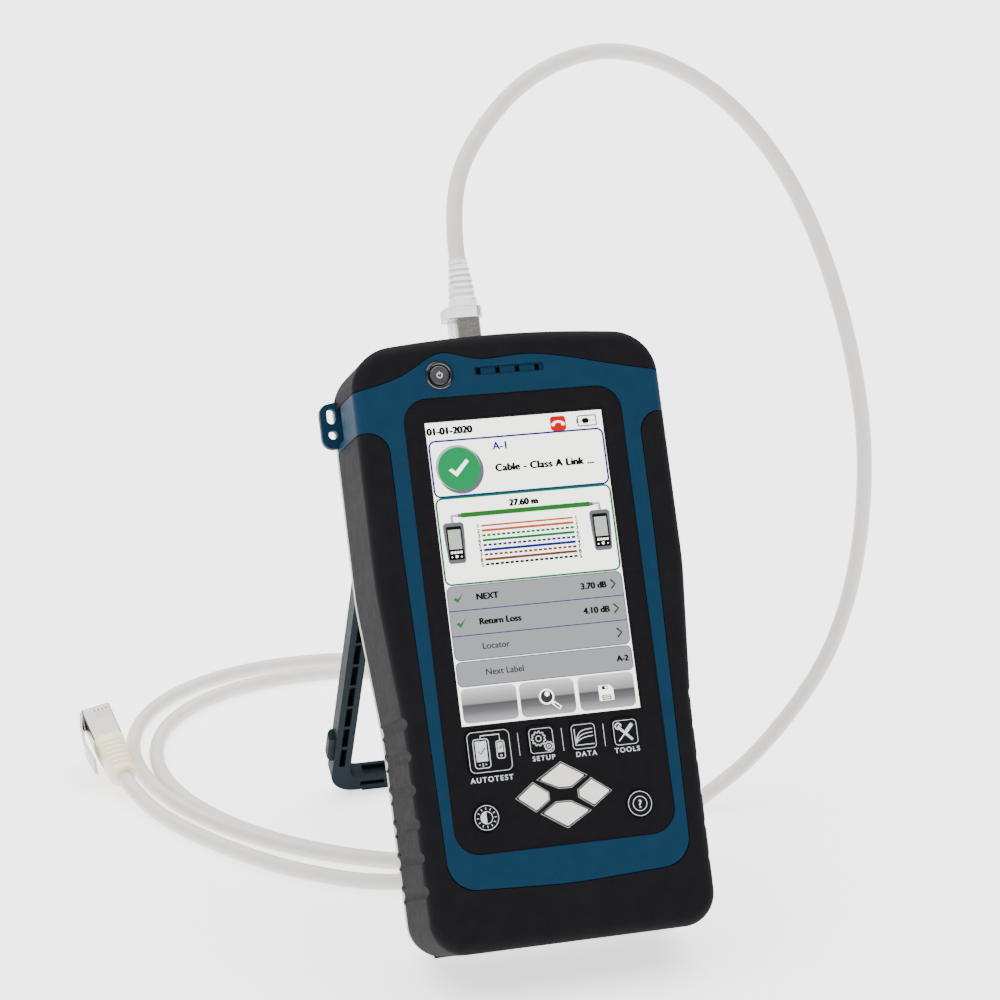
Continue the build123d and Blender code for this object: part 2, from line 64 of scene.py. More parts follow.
# Depths in the local frame. Each further layer of a drawing lies one LAYER nearer the user.
PAGE_FACE = 0.66
DRAWING_FACE = 0.61
PANEL_FACE = 0.37
KEY_FACE = -0.63
POWER_FACE = -0.33
LAYER = 0.04

# Middles of the round keys and the power button, and the heights of the row of soft buttons.
BRIGHTNESS_KEY = (-32.4, 52.7)
HELP_KEY = (31.7, 51.2)
POWER_BUTTON = (-29.1, 233.0)
SOFT_FOOT = 90.7
SOFT_TOP = 104.8

NEAR_TIP = (-7.5, 30.0, 236.0)
FAR_LENGTH = 44.0
FAR_SIDE = (0.98, 0.085, 0.176)

# --- camera, floor and light ------------------------------------------------------------------


def make_camera():
    """Placed by its position and by its right and up directions."""
    right = Vector(CAMERA_RIGHT)
    back = right.cross(Vector(CAMERA_UP)).normalized()
    up = back.cross(right).normalized()
    place = Vector(CAMERA_PLACE) * MM
    camera = bpy.data.objects.new("camera", bpy.data.cameras.new("camera"))
    camera.matrix_world = Matrix.Translation(place) @ Matrix((right, up, back)).transposed().to_4x4()
    camera.data.lens = FOCAL_LENGTH
    camera.data.sensor_width = SENSOR_WIDTH
    bpy.context.scene.collection.objects.link(camera)
    bpy.context.scene.camera = camera


def add_light(name, place, aim, size, power):
    lamp = bpy.data.lights.new(name, "AREA")
    lamp.size = size
    lamp.energy = power
    light = bpy.data.objects.new(name, lamp)
    light.location = place
    light.rotation_euler = (Vector(aim) - Vector(place)).to_track_quat("-Z", "Y").to_euler()
    bpy.context.scene.collection.objects.link(light)


def make_sky():
    world = bpy.data.worlds.new("world")
    world.use_nodes = True
    sky = world.node_tree.nodes["Background"]
    sky.inputs["Color"].default_value = (1.0, 1.0, 1.0, 1)
    sky.inputs["Strength"].default_value = 0.45
    bpy.context.scene.world = world


def make_lights():
    add_light("ceiling", (0, 2.0, 4.5), (0, 2.0, 0), size=10.0, power=1250)
    add_light("key", (-1.4, -0.7, 0.8), (0, 0, 0.12), size=0.8, power=3)


def make_floor():
    mesh = bpy.data.meshes.new("floor")
    corners = [(x * FLOOR_REACH, y * FLOOR_REACH, 0) for x, y in ((-1, -1), (1, -1), (1, 1), (-1, 1))]
    mesh.from_pydata(corners, [], [(0, 1, 2, 3)])
    floor = bpy.data.objects.new("floor", mesh)
    bpy.context.scene.collection.objects.link(floor)
    mesh.materials.append(surface("floor_paint", (0.88, 0.88, 0.88), 0.7, mottle=0.01, scale=3, glow=1.8))


# --- materials --------------------------------------------------------------------------------


def surface(name, colour, rough, mottle=0.06, scale=120.0, grain=0.0, grain_scale=2500.0,
            metal=0.0, coat=0.0, clear=0.0, glow=0.0, rough_swing=0.08, streak=(1, 1, 1),
            spec=0.5, ior=1.45):
    """A principled material whose colour, roughness and relief vary with fine noise.

    scale is the size of the colour variation in cycles per metre, grain_scale that of the relief.
    """
    paint = bpy.data.materials.new(name)
    paint.use_nodes = True
    tree = paint.node_tree
    shader = tree.nodes["Principled BSDF"]
    place = tree.nodes.new("ShaderNodeTexCoord")
    stretch = tree.nodes.new("ShaderNodeMapping")
    stretch.inputs["Scale"].default_value = streak
    tree.links.new(place.outputs["Object"], stretch.inputs["Vector"])

    def noise(cycles, detail):
        node = tree.nodes.new("ShaderNodeTexNoise")
        node.inputs["Scale"].default_value = cycles
        node.inputs["Detail"].default_value = detail
        tree.links.new(stretch.outputs["Vector"], node.inputs["Vector"])
        return node

    blotches = noise(scale, 4)
    mix = tree.nodes.new("ShaderNodeMix")
    mix.data_type = "RGBA"
    low = [max(0.0, c * (1 - mottle)) for c in colour]
    high = [min(1.0, c * (1 + mottle) + mottle * 0.01) for c in colour]
    mix.inputs[6].default_value = (*low, 1)
    mix.inputs[7].default_value = (*high, 1)
    tree.links.new(blotches.outputs["Fac"], mix.inputs["Factor"])
    tree.links.new(mix.outputs[2], shader.inputs["Base Color"])

    smears = noise(scale * 2.3, 3)
    spread = tree.nodes.new("ShaderNodeMapRange")
    spread.inputs["To Min"].default_value = max(0.02, rough - rough_swing)
    spread.inputs["To Max"].default_value = min(1.0, rough + rough_swing)
    tree.links.new(smears.outputs["Fac"], spread.inputs["Value"])
    tree.links.new(spread.outputs["Result"], shader.inputs["Roughness"])

    if grain:
        pores = noise(grain_scale, 2)
        bump = tree.nodes.new("ShaderNodeBump")
        bump.inputs["Strength"].default_value = grain
        bump.inputs["Distance"].default_value = 0.0002
        tree.links.new(pores.outputs["Fac"], bump.inputs["Height"])
        tree.links.new(bump.outputs["Normal"], shader.inputs["Normal"])

    shader.inputs["Metallic"].default_value = metal
    shader.inputs["Specular IOR Level"].default_value = spec
    shader.inputs["IOR"].default_value = ior
    shader.inputs["Coat Weight"].default_value = coat
    shader.inputs["Coat Roughness"].default_value = 0.08
    shader.inputs["Transmission Weight"].default_value = clear
    if glow:
        shader.inputs["Emission Color"].default_value = (*colour, 1)
        shader.inputs["Emission Strength"].default_value = glow
    return paint


def lit(name, colour, glow=1.0):
    """A colour shown on the display: it gives light more than it reflects it."""
    paint = surface(name, [c * 0.2 for c in colour], 0.25, mottle=0.015, scale=900, glow=glow,
                    rough_swing=0.03, spec=0.2)
    paint.node_tree.nodes["Principled BSDF"].inputs["Emission Color"].default_value = (*colour, 1)
    return paint


def dress(paint, *names):
    """Gives CAD nodes a material in place of their plain one."""
    for name in names:
        node = NODES[name]
        node.data.materials.clear()
        node.data.materials.append(paint)


# --- pieces -----------------------------------------------------------------------------------


def place_piece(name, mesh, paint, body=BODY, matrix=LOCAL):
    """Turns a mesh drawn in millimetres into a piece that rides on a body."""
    mesh.transform(matrix)
    mesh.materials.clear()
    mesh.materials.append(paint)
    piece = bpy.data.objects.new(name, mesh)
    bpy.context.scene.collection.objects.link(piece)
    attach(piece, body)
    return piece


def mesh_of(name, curve):
    """The mesh of a curve or text, which is then thrown away."""
    holder = bpy.data.objects.new(name, curve)
    bpy.context.scene.collection.objects.link(holder)
    bpy.context.view_layer.update()
    mesh = bpy.data.meshes.new_from_object(holder.evaluated_get(bpy.context.evaluated_depsgraph_get()))
    bpy.data.objects.remove(holder)
    return mesh


def onto_front(y):
    """Takes a drawing in X and Y to the local front plane at depth y, facing the user."""
    return Matrix.Translation((0, y, 0)) @ Matrix(((1, 0, 0, 0), (0, 0, -1, 0), (0, 1, 0, 0), (0, 0, 0, 1)))


def curve_data(name, thickness):
    curve = bpy.data.curves.new(name, "CURVE")
    curve.dimensions = "2D"
    curve.fill_mode = "BOTH"
    curve.extrude = thickness / 2
    return curve


def add_outline(curve, points, cyclic=True):
    spline = curve.splines.new("POLY")
    spline.points.add(len(points) - 1)
    for point, (x, z) in zip(spline.points, points):
        point.co = (x, z, 0, 1)
    spline.use_cyclic_u = cyclic


def filled(name, outlines, y, paint, thickness=0.04, body=BODY):
    """Flat filled shapes; an outline inside another one is a hole."""
    curve = curve_data(name, thickness)
    for points in outlines:
        add_outline(curve, points)
    return place_piece(name, mesh_of(name, curve), paint, body, LOCAL @ onto_front(y))


def band(points, width, closed=True):
    """The outline of a stroke of that width along a line of points."""
    count = len(points)
    left, right = [], []
    for i, (x, z) in enumerate(points):
        before = points[i - 1] if closed or i else points[i]
        after = points[(i + 1) % count] if closed or i < count - 1 else points[i]
        along = Vector((after[0] - before[0], after[1] - before[1])).normalized()
        left.append((x - along.y * width / 2, z + along.x * width / 2))
        right.append((x + along.y * width / 2, z - along.x * width / 2))
    if closed:
        return [left, right]
    return [left + right[::-1]]


def strokes(name, lines, width, y, paint, thickness=0.04, closed=True, body=BODY):
    outlines = []
    for points in lines:
        outlines += band(points, width, closed)
    return filled(name, outlines, y, paint, thickness, body)


def thickened(mesh, spread):
    """Glyphs made bolder by laying four copies over each other, each shifted a little."""
    work = bmesh.new()
    for n, (right, up) in enumerate(((-1, 0), (0, -0.5), (1, 0), (0, 0.5))):
        start = len(work.verts)
        work.from_mesh(mesh)
        work.verts.ensure_lookup_table()
        bmesh.ops.translate(work, verts=work.verts[start:], vec=(right * spread, up * spread, n * 0.004))
    work.to_mesh(mesh)
    work.free()
    return mesh


def lettering(name, words, x, z, height, y, paint, align="LEFT", spread=1.0, bold=0.0,
              body=BODY):
    """Generic lettering whose capitals are that high, starting, centred or ending at x."""
    font = bpy.data.curves.new(name, "FONT")
    font.body = words
    font.size = height / 0.72
    font.align_x = align
    font.extrude = 0.02
    font.space_character = spread
    matrix = LOCAL @ onto_front(y) @ Matrix.Translation((x, z, 0))
    mesh = mesh_of(name, font)
    if bold:
        mesh = thickened(mesh, bold)
    return place_piece(name, mesh, paint, body, matrix)


def circle(x, z, radius, count=48, start=0.0, sweep=360.0):
    steps = count if sweep >= 360 else count + 1
    angles = [math.radians(start + sweep * i / count) for i in range(steps)]
    return [(x + radius * math.cos(a), z + radius * math.sin(a)) for a in angles]


def box2(x0, x1, z0, z1, radius=0.0):
    """A rectangle with rounded corners."""
    if not radius:
        return [(x0, z0), (x1, z0), (x1, z1), (x0, z1)]
    points = []
    for cx, cz, start in ((x1, z1, 0), (x0, z1, 90), (x0, z0, 180), (x1, z0, 270)):
        cx += -radius if cx == x1 else radius
        cz += -radius if cz == z1 else radius
        points += circle(cx, cz, radius, 8, start, 90)
    return points


# --- the display --------------------------------------------------------------------------------

INK = {
    "screen_white": (0.95, 0.95, 0.90),
    "ink_black": (0.002, 0.002, 0.002),
    "ink_navy": (0.01, 0.01, 0.22),
    "ink_green": (0.0, 0.20, 0.04),
    "disc_green": (0.0, 0.32, 0.09),
    "bar_green": (0.02, 0.20, 0.03),
    "ink_red": (0.70, 0.0, 0.0),
    "row_grey": (0.36, 0.37, 0.39),
    "faint_grey": (0.04, 0.04, 0.04),
    "shade_grey": (0.15, 0.16, 0.18),
    "light_grey": (0.55, 0.55, 0.58),
    "wire_orange": (0.75, 0.10, 0.02),
    "wire_brown": (0.18, 0.05, 0.015),
    "icon_screen": (0.6, 0.64, 0.55),
}


def dashes(x0, x1, z, length, gap):
    count = int((x1 - x0 + gap) / (length + gap))
    pitch = (x1 - x0 + gap) / count
    return [[(x0 + i * pitch, z), (x0 + (i + 1) * pitch - gap, z)] for i in range(count)]


def wire_map(ink, y):
    """Nine wires between the two testers, each with its number at both ends."""
    wires = [
        ("1", "wire_orange", 169.9, 0.8, False), ("2", "wire_orange", 167.9, 1.05, False),
        ("3", "ink_green", 165.9, 0.95, True), ("6", "ink_green", 163.9, 1.05, False),
        ("5", "ink_navy", 161.9, 0.95, True), ("4", "ink_navy", 159.9, 1.1, False),
        ("7", "wire_brown", 158.0, 0.95, True), ("8", "wire_brown", 156.0, 1.05, False),
        ("S", "ink_black", 154.0, 0.95, True),
    ]
    for number, colour, z, width, dashed in wires:
        lines = dashes(-19.5, 19.5, z, 1.5, 0.55) if dashed else [[(-19.5, z), (19.5, z)]]
        strokes("wire_" + number, lines, width, y, ink[colour], closed=False)
        for side in (-1, 1):
            name = "wire_number_" + number + ("_a" if side < 0 else "_b")
            lettering(name, number, side * 20.8, z - 0.85, 1.7, y, ink[colour], "CENTER", bold=0.15)


def tester_icon(tag, x, ink, y):
    """A small picture of a tester, centred on x."""
    body = [(x - 4.4, 171.2), (x - 3.4, 172.2), (x + 3.4, 172.2), (x + 4.4, 171.2), (x + 4.2, 164),
            (x + 3.9, 160), (x + 3.7, 156.2), (x + 2.9, 155.4), (x - 2.9, 155.4), (x - 3.7, 156.2),
            (x - 3.9, 160), (x - 4.2, 164)]
    filled("icon_body_" + tag, [body], y, ink["shade_grey"])
    filled("icon_face_" + tag, [box2(x - 3.2, x + 3.2, 157, 170.6, 0.6)], y - LAYER, ink["ink_black"])
    filled("icon_screen_" + tag, [box2(x - 2.6, x + 2.6, 161.3, 169.3)], y - 2 * LAYER, ink["icon_screen"])
    keys = [box2(x - 2.3 + 1.3 * n, x - 1.4 + 1.3 * n, 159.5, 160.4) for n in range(4)]
    keys += [circle(x, 158.3, 0.6, 8), circle(x - 2, 158.1, 0.3, 8), circle(x + 2, 158.1, 0.3, 8)]
    filled("icon_keys_" + tag, keys, y - 2 * LAYER, ink["screen_white"])


def link_picture(ink, y):
    filled("link_bar", [box2(-27.2, 27.4, 173.9, 175.9)], y - LAYER, ink["bar_green"])
    filled("link_sleeves", [box2(-28.6, -27.2, 174.1, 175.6), box2(27.4, 28.8, 174.1, 175.6)], y,
           ink["shade_grey"])
    lines = [[(-28.4, 174.9), (-31.2, 174.9), (-31.2, 172)], [(28.6, 174.9), (31.4, 174.9), (31.4, 172)]]
    strokes("link_leads", lines, 1.0, y, ink["shade_grey"], closed=False)
    strokes("link_lead_cores", lines, 0.5, y - LAYER, ink["light_grey"], closed=False)
    lettering("link_length", "27.60 m", -0.4, 177.1, 2.7, y, ink["ink_black"], "CENTER", bold=0.34)
    tester_icon("a", -31.0, ink, y)
    tester_icon("b", 31.0, ink, y)
    wire_map(ink, y)


def status_bar(ink, y):
    lettering("date", "01-01-2020", -37.2, 208.6, 2.95, y, ink["ink_black"], bold=0.34)
    filled("call_tile", [box2(15.1, 21.8, 206.3, 212.4, 1.3)], y, ink["ink_red"])
    arch = circle(18.45, 206.6, 3.5, 16, 40, 100)
    strokes("call_arch", [arch], 0.85, y - LAYER, ink["screen_white"], closed=False)
    ends = [box2(15.7, 17.0, 208.4, 209.7, 0.3), box2(19.9, 21.2, 208.4, 209.7, 0.3)]
    filled("call_ends", ends, y - LAYER, ink["screen_white"])
    strokes("battery_outline", [box2(27, 34.8, 207.5, 211.7, 0.4)], 0.55, y, ink["shade_grey"])
    filled("battery_nub", [box2(26.3, 26.9, 208.7, 210.4)], y, ink["shade_grey"])
    filled("battery_plug", [box2(28.8, 31.6, 208.5, 210.7, 0.8)], y, ink["ink_black"])
    strokes("battery_lead", [[(27.8, 209.6), (34.0, 209.6)]], 0.3, y, ink["ink_black"], closed=False)


def result_card(ink, y):
    strokes("card_outline_a", [box2(-37, 36.9, 182.9, 205.9, 2.6)], 0.8, y, ink["ink_navy"])
    strokes("card_outline_b", [box2(-37, 36.9, 146.9, 182.2, 2.6)], 0.8, y, ink["ink_green"])
    filled("disc_shade", [circle(-25.0, 193.3, 9.7)], y, ink["shade_grey"])
    filled("disc_light", [circle(-26.0, 194.5, 9.3)], y - LAYER, ink["light_grey"])
    filled("disc", [circle(-25.6, 194.0, 8.85)], y - 2 * LAYER, ink["disc_green"])
    tick = [(-30.0, 193.7), (-28.7, 194.3), (-27.2, 192.9), (-22.3, 197.8), (-21.2, 196.8), (-26.9, 190.8)]
    filled("disc_tick", [tick], y - 3 * LAYER, ink["screen_white"])
    lettering("label_a", "A-1", -10.4, 200.7, 3.2, y, ink["ink_navy"], bold=0.2)
    lettering("result_line", "Cable - Class A Link ...", -10.4, 191.7, 3.0, y, ink["ink_black"], bold=0.34,
              spread=1.08)


def row_list(ink, y):
    boxes = [box2(-37.1, 36.9, 116.1, 146.2, 2.4), box2(-37.1, 36.9, 105.5, 115.5, 2.2)]
    for tag, outline in zip("ab", boxes):
        filled("rows_" + tag, [outline], y, ink["row_grey"])
    rules = [[(-37, z), (36.8, z)] for z in (136.2, 126.0)]
    strokes("row_rules", rules, 0.35, y - LAYER, ink["ink_navy"], closed=False)
    strokes("row_edges", boxes, 0.3, y - LAYER, ink["ink_navy"])
    rows = [
        ("NEXT", 140.1, "ink_black", "3.70 dB", 0.22),
        ("Return Loss", 130.0, "ink_black", "4.10 dB", 0.22),
        ("Locator", 120.0, "faint_grey", "", 0.07),
        ("Next Label", 109.5, "faint_grey", "", 0.07),
    ]
    for i, (words, z, colour, value, bold) in enumerate(rows):
        lettering(f"row_name_{i}", words, -25.2, z, 2.6, y - LAYER, ink[colour], bold=bold)
        if value:
            lettering(f"row_value_{i}", value, 30.0, z, 2.6, y - LAYER, ink["ink_black"], "RIGHT", bold=0.22)
            tick = [(-34.7, z + 0.9), (-33.6, z + 1.6), (-33.0, z + 0.8), (-30.2, z + 3.4), (-33.0, z - 0.6)]
            filled(f"row_tick_{i}", [tick], y - LAYER, ink["bar_green"])
    lettering("label_b", "A-2", 35.3, 109.4, 2.4, y - LAYER, ink["ink_black"], "RIGHT", bold=0.22)
    arrows = [[(31.9, z + 1.9), (33.8, z), (31.9, z - 1.9)] for z in (141.2, 131.1, 121.1)]
    strokes("row_arrows", arrows, 0.75, y - LAYER, ink["faint_grey"], closed=False)


def button_paint():
    """Grey glass that is light at the top, with a darker lower half."""
    paint = lit("button_grey", (0.4, 0.4, 0.42))
    tree = paint.node_tree
    shader = tree.nodes["Principled BSDF"]
    place = tree.nodes.new("ShaderNodeTexCoord")
    split = tree.nodes.new("ShaderNodeSeparateXYZ")
    tree.links.new(place.outputs["Object"], split.inputs["Vector"])
    low = LOCAL @ Vector((0, 0, SOFT_FOOT - 0.2))
    high = LOCAL @ Vector((0, 0, SOFT_TOP))
    span = tree.nodes.new("ShaderNodeMapRange")
    span.inputs["From Min"].default_value = low.z
    span.inputs["From Max"].default_value = high.z
    tree.links.new(split.outputs["Z"], span.inputs["Value"])
    ramp = tree.nodes.new("ShaderNodeValToRGB")
    stops = ramp.color_ramp.elements
    stops[0].color = (0.22, 0.225, 0.23, 1)
    stops[1].color = (0.42, 0.42, 0.43, 1)
    for height, level in ((0.3, 0.075), (0.5, 0.045), (0.54, 0.15), (0.8, 0.26)):
        stop = stops.new(height)
        stop.color = (level, level, level * 1.04, 1)
    tree.links.new(span.outputs["Result"], ramp.inputs["Fac"])
    tree.links.new(ramp.outputs["Color"], shader.inputs["Base Color"])
    tree.links.new(ramp.outputs["Color"], shader.inputs["Emission Color"])
    return paint


def soft_buttons(ink, y):
    sides = [(-36.6, -13.5), (-12.3, 10.8), (12.4, 36.2)]
    boxes = [box2(left, right, SOFT_FOOT, SOFT_TOP, 2.4) for left, right in sides]
    filled("soft_buttons", boxes, y, button_paint())
    white = ink["screen_white"]
    dark = ink["faint_grey"]
    filled("lens_rim", [circle(-1.2, 98.2, 3.2)], y - LAYER, white)
    filled("lens", [circle(-1.2, 98.2, 2.5)], y - 2 * LAYER, dark)
    filled("lens_glint", [circle(-0.9, 99.3, 1.0)], y - 3 * LAYER, white)
    strokes("lens_handle", [[(1.0, 95.8), (4.3, 93.1)]], 1.6, y - LAYER, white, closed=False)
    strokes("lens_handle_core", [[(1.7, 95.2), (3.9, 93.4)]], 0.7, y - 2 * LAYER, dark, closed=False)
    disk = [(20.9, 94.1), (27.1, 94.1), (27.1, 98.8), (25.6, 100.4), (20.9, 100.4)]
    filled("save_body", [disk], y - LAYER, white)
    filled("save_holes", [box2(22.3, 24.9, 98.6, 100.1), box2(22.0, 26.0, 94.4, 96.4)], y - 2 * LAYER, dark)
    lines = [box2(22.4, 25.6, 95.7, 96.0), box2(22.4, 25.6, 94.9, 95.2), box2(23.7, 24.6, 98.9, 99.9)]
    filled("save_lines", lines, y - 3 * LAYER, white)


def make_display():
    ink = {name: lit(name, colour) for name, colour in INK.items()}
    ink["screen_white"] = lit("screen_white", INK["screen_white"], 3.0)
    bezel = surface("glass_border", (0.006, 0.006, 0.007), 0.12, mottle=0.1, scale=300, spec=0.3)
    dress(bezel, "touch_glass")
    filled("page", [box2(-37.6, 37.5, 89.8, 213.7)], PAGE_FACE, ink["screen_white"])
    for draw in (status_bar, result_card, link_picture, row_list, soft_buttons):
        draw(ink, DRAWING_FACE)


# --- key markings -------------------------------------------------------------------------------

def key_fill(name, outlines, paint, key):
    """Flat shapes printed on a key cap, which move with it."""
    filled(name, outlines, KEY_FACE, paint, body=key + "_cap")


def key_lines(name, lines, width, paint, key, closed=False, layer=0):
    """Lines printed on a key cap; a higher layer lies over a lower one."""
    face = KEY_FACE - layer * LAYER
    strokes(name, lines, width, face, paint, closed=closed, body=key + "_cap")


def gear(x, z, outer, root, teeth):
    points = []
    for i in range(teeth * 4):
        radius = outer if i % 4 in (1, 2) else root
        angle = 2 * math.pi * (i + 0.5) / (teeth * 4)
        points.append((x + radius * math.cos(angle), z + radius * math.sin(angle)))
    return points


def key_frames(print_white):
    frames = {
        "key_test": box2(-36.6, -19.2, 70.7, 86.9, 2.2),
        "key_setup": box2(-10.9, -1.1, 75.9, 85.7, 1.5),
        "key_data": box2(6.9, 16.7, 75.7, 85.5, 1.5),
        "key_tools": box2(24.6, 34.4, 75.5, 85.3, 1.5),
        "key_brightness": circle(*BRIGHTNESS_KEY, 4.9),
        "key_help": circle(*HELP_KEY, 4.9),
    }
    for key, outline in frames.items():
        key_lines(key + "_frame", [outline], 0.24, print_white, key, closed=True)


def test_icon(white, dark):
    """The tester and its remote unit with a lead between them."""
    key = "key_test"
    cases = band(box2(-34.4, -28.0, 72.4, 84.0, 1.2), 0.35) + band(box2(-24.9, -21.6, 75.6, 82.6, 0.9), 0.35)
    key_fill("test_cases", cases, white, key)
    key_fill("test_screens", [box2(-33.6, -28.9, 75.0, 83.2), box2(-24.4, -22.2, 78.0, 81.9)], white, key)
    lead = [(-31.1, 84.0), (-31.1, 85.3), (-23.2, 85.3), (-23.2, 82.6)]
    key_lines("test_lead", [lead], 0.4, white, key)
    ticks = [[(-32.7, 79.2), (-31.7, 78.0), (-29.7, 80.4)], [(-24.0, 80.1), (-23.5, 79.4), (-22.6, 80.8)]]
    key_lines("test_ticks", ticks, 0.5, dark, key, layer=1)
    spots = [(-32.5, 73.8), (-31.2, 74.1), (-31.2, 73.3), (-29.9, 73.8)]
    dots = [circle(x, z, 0.3, 10) for x, z in spots]
    dots.append(circle(-23.25, 76.7, 0.45, 10))
    key_fill("test_dots", dots, white, key)


def setup_icon(white):
    wheels = [("a", -7.1, 81.7, 3.0, 2.35, 1.1, 11), ("b", -3.2, 78.3, 1.9, 1.4, 0.6, 9)]
    for tag, x, z, outer, root, hole, teeth in wheels:
        ring = band(gear(x, z, outer, root, teeth), 0.35) + band(circle(x, z, hole, 20), 0.35)
        key_fill("setup_gear_" + tag, ring, white, "key_setup")


def data_icon(white):
    """Two axes and three curves that rise and level off."""
    lines = [[(8.1, 83.9), (8.1, 77.3), (15.9, 77.3)]]
    steps = [i / 10 for i in range(11)]
    for rise, bend in ((5.6, 0.9), (4.2, 1.2), (2.8, 1.6)):
        lines.append([(8.1 + 7.6 * t, 77.9 + rise * (1 - math.exp(-t * 5 / bend))) for t in steps])
    key_lines("data_curves", lines, 0.35, white, "key_data")


def tools_icon(white):
    """A wrench crossed by a screwdriver."""
    key = "key_tools"
    key_lines("tool_wrench", [[(26.6, 83.2), (27.6, 81.8), (32.2, 77.2)]], 1.0, white, key)
    key_lines("tool_driver", [[(26.4, 77.0), (29.2, 80.0)]], 0.5, white, key, layer=1)
    key_lines("tool_handle", [[(29.2, 80.0), (32.6, 83.6)]], 1.5, white, key, layer=2)
    key_lines("tool_jaw", [circle(26.7, 83.1, 1.2, 20, -10, 290)], 0.55, white, key, layer=1)


def round_icons(white):
    x, z = BRIGHTNESS_KEY
    key_fill("bright_half", [circle(x, z, 2.3, 24, 90, 180)], white, "key_brightness")
    key_lines("bright_ring", [circle(x, z, 2.45, 32)], 0.28, white, "key_brightness", closed=True)
    rays = []
    for n in range(12):
        a = math.radians(30 * n)
        rays.append([(x + r * math.cos(a), z + r * math.sin(a)) for r in (3.2, 4.1)])
    key_lines("bright_rays", rays, 0.3, white, "key_brightness")
    x, z = HELP_KEY
    key_lines("help_ring", [circle(x, z, 2.9, 32)], 0.28, white, "key_help", closed=True)
    lettering("help_mark", "?", x, z - 1.7, 3.3, KEY_FACE, white, "CENTER", bold=0.1,
              body="key_help_cap")


def captions_and_bars(white):
    captions = [("AUTOTEST", -28.0, 66.8, 2.15), ("SETUP", -5.6, 72.9, 2.05),
                ("DATA", 12.3, 72.7, 2.05), ("TOOLS", 29.7, 72.5, 2.05)]
    for words, x, z, height in captions:
        lettering("caption_" + words.lower(), words, x, z, height, PANEL_FACE, white, "CENTER",
                  1.28, 0.07)
    bars = [[(x, 75.8), (x, 85.0)] for x in (-15.3, 3.1, 20.7)]
    strokes("key_dividers", bars, 0.22, PANEL_FACE, white, closed=False)


def arrow_outlines(white):
    """Outlines of the up, down, left and right keys, printed on the panel."""
    arrows = [
        [(1.0, 71.6), (11.4, 65.1), (4.1, 60.8), (-1.1, 61.0), (-9.7, 65.3)],
        [(0.7, 44.9), (11.4, 51.0), (3.2, 55.7), (-3.1, 55.8), (-9.8, 51.8)],
        [(-19.4, 58.9), (-11.5, 52.6), (-5.4, 56.8), (-5.4, 59.9), (-11.5, 64.6)],
        [(20.9, 57.9), (12.8, 52.3), (6.7, 56.6), (6.7, 59.7), (12.8, 63.9)],
    ]
    strokes("arrow_outlines", arrows, 0.18, PANEL_FACE, white)


def power_glyph():
    x, z = POWER_BUTTON
    lines = [circle(x, z, 1.1, 24, 120, 300), [(x, z + 1.6), (x, z + 0.3)]]
    # The grey glyph also gets a faint glow. This is painted light that brightens it, since the glyph is no
    # lamp.
    paint = surface("power_mark_with_painted_glow", (0.5, 0.52, 0.55), 0.3, mottle=0.03, glow=0.1)
    strokes("power_glyph", lines, 0.4, POWER_FACE, paint, closed=False, body="power_button_cap")


def make_markings():
    white = surface("print_white", (0.58, 0.60, 0.61), 0.45, mottle=0.05, scale=800)
    dark = surface("print_dark", (0.03, 0.03, 0.035), 0.4, mottle=0.1, scale=800)
    key_frames(white)
    test_icon(white, dark)
    setup_icon(white)
    data_icon(white)
    tools_icon(white)
    round_icons(white)
    captions_and_bars(white)
    arrow_outlines(white)
    power_glyph()


# --- the cord -------------------------------------------------------------------------------------

CORD_D = 7.0
EXIT = (-7.5, 45.092, 266.132)
ARCH = [
    (-7.5, 56.2, 287.0), (4.0, 67.0, 312.0), (33.0, 74.0, 340.0), (74.0, 77.0, 349.5),
    (120.0, 76.5, 328.0), (157.0, 74.0, 284.0), (183.5, 71.5, 218.0), (196.0, 68.0, 146.0),
    (184.0, 63.0, 69.0), (144.0, 55.0, 21.5), (106.0, 42.0, 3.8),
]
TAIL = [
    (35.0, 10.0, 9.0), (-6.0, -5.5, 6.0), (-50.0, -3.5, 3.5), (-84.5, 19.0, 3.5),
    (-110.0, 49.0, 3.5), (-130.0, 83.5, 3.5), (-141.0, 111.2, 4.4),
]
FAR_END = Vector((-146, 129.1, 9.5))
FAR_AXIS = Vector((-6.2, 41, 14.9)).normalized()

# Half length, half width, middle y, and first and last angle of the outer and the inner turn.
LOOPS = [(142.7, 118.0, 134.15, 180, -165), (131.9, 109.9, 125.85, -195, -555)]
LOOP_MIDDLE_X = -10
LOOP_TILT = math.radians(132)
LOOP_STEPS = 12


def loose_turns():
    """Two loose turns on the table, the second one lying inside the first."""
    turns = []
    major = Vector((math.cos(LOOP_TILT), math.sin(LOOP_TILT)))
    minor = Vector((-major.y, major.x))
    for wide, deep, middle, first, last in LOOPS:
        for i in range(LOOP_STEPS + 1):
            t = math.radians(first + (last - first) * i / LOOP_STEPS)
            spot = Vector((LOOP_MIDDLE_X, middle)) + major * wide * math.cos(t) + minor * deep * math.sin(t)
            turns.append((spot.x, spot.y, CORD_D / 2))
    return turns


